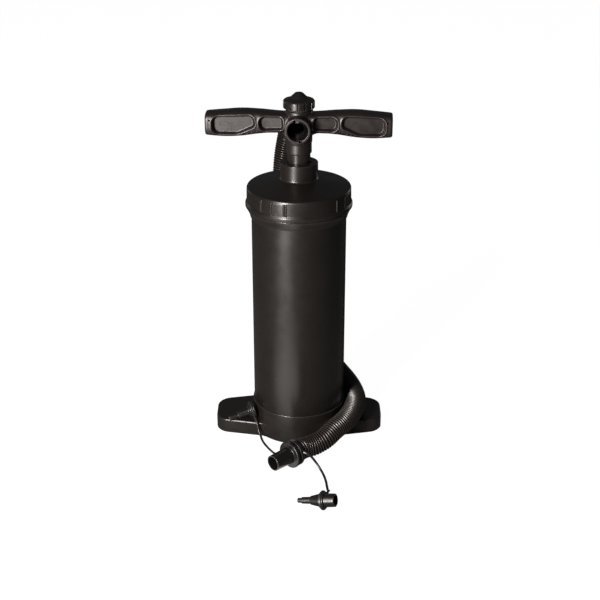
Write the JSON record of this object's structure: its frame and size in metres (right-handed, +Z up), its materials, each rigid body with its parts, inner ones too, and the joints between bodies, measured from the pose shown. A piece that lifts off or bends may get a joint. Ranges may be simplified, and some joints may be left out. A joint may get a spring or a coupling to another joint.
{
  "type": "double-action hand air pump",
  "caption": "Upright hand air pump: round barrel in a two-footed base, screw cap, T-handle with air ports and valve knob, corrugated hose, nozzle and tethered adaptors.",
  "frame": {"origin": "centre of the base's underside, on the barrel's axis", "axes": "+Z up along the barrel and the stroke; the open port faces -Y, the hose leaves towards +Y; the feet lie along X, +X to the viewer's right"},
  "size_m": [0.24, 0.3804, 0.48],
  "materials": {
    "base_plastic": "satin moulded, fine grain",
    "barrel_plastic": "satin extruded",
    "cap_plastic": "satin moulded",
    "handle_plastic": "satin moulded, fine grain",
    "knob_plastic": "satin moulded",
    "hose_plastic": "satin corrugated",
    "fitting_plastic": "satin moulded",
    "strap_plastic": "soft moulded",
    "rod_plastic": "smooth drawn tube",
    "seal_rubber": "moulded, lightly greased",
    "acetal": "turned",
    "screw_steel": "zinc plated"
  },
  "bodies": {
    "pump_body": {"foot_base": "base_plastic", "base_gasket": "seal_rubber", "barrel": "barrel_plastic", "barrel_cap": "cap_plastic", "cap_gasket": "seal_rubber", "rod_bush": "acetal", "rod_seal": "seal_rubber", "hose": "hose_plastic", "hose_nozzle": "fitting_plastic", "strap_loop": "strap_plastic", "strap_left": "strap_plastic", "strap_right": "strap_plastic", "small_adaptor": "fitting_plastic", "small_adaptor_eyelet": "strap_plastic", "large_adaptor": "fitting_plastic", "large_adaptor_eyelet": "strap_plastic"},
    "piston_seals": {"piston_seal_lower": "seal_rubber", "piston_seal_upper": "seal_rubber"},
    "handle": {"piston_plate": "acetal", "piston_body": "acetal", "piston_ring": "acetal", "piston_nut": "screw_steel", "rod_tube_outer": "rod_plastic", "rod_tube_inner": "rod_plastic", "grip_front": "handle_plastic", "grip_rear": "handle_plastic", "handle_screw_1": "screw_steel", "handle_screw_2": "screw_steel", "handle_screw_3": "screw_steel", "handle_screw_4": "screw_steel", "handle_screw_5": "screw_steel", "handle_screw_6": "screw_steel", "valve_cartridge": "fitting_plastic", "hose_cuff": "fitting_plastic"},
    "knob": {"valve_knob": "knob_plastic", "knob_seal": "seal_rubber"},
    "lower_flap": {"flap_lower": "seal_rubber"},
    "upper_flap": {"flap_upper": "seal_rubber"}
  },
  "joints": [
    {"name": "pump_stroke", "type": "slide", "parent": "pump_body", "child": "piston_seals", "axis": [0, 0, 1], "range_m": [0, 0.285], "deforming": ["hose"]},
    {"name": "handle_swivel", "type": "hinge", "parent": "piston_seals", "child": "handle", "pos_m": [0, 0, 0], "axis": [0, 0, 1], "range_deg": [-20, 20], "deforming": ["hose"]},
    {"name": "knob_turn", "type": "hinge", "parent": "handle", "child": "knob", "pos_m": [0, 0, 0.465], "axis": [0, 0, 1], "range_deg": [0, 90]},
    {"name": "lower_flap_lift", "type": "slide", "parent": "handle", "child": "lower_flap", "axis": [0, 0, 1], "range_m": [0, 0.002]},
    {"name": "upper_flap_lift", "type": "slide", "parent": "handle", "child": "upper_flap", "axis": [0, 0, 1], "range_m": [0, 0.002]}
  ]
}
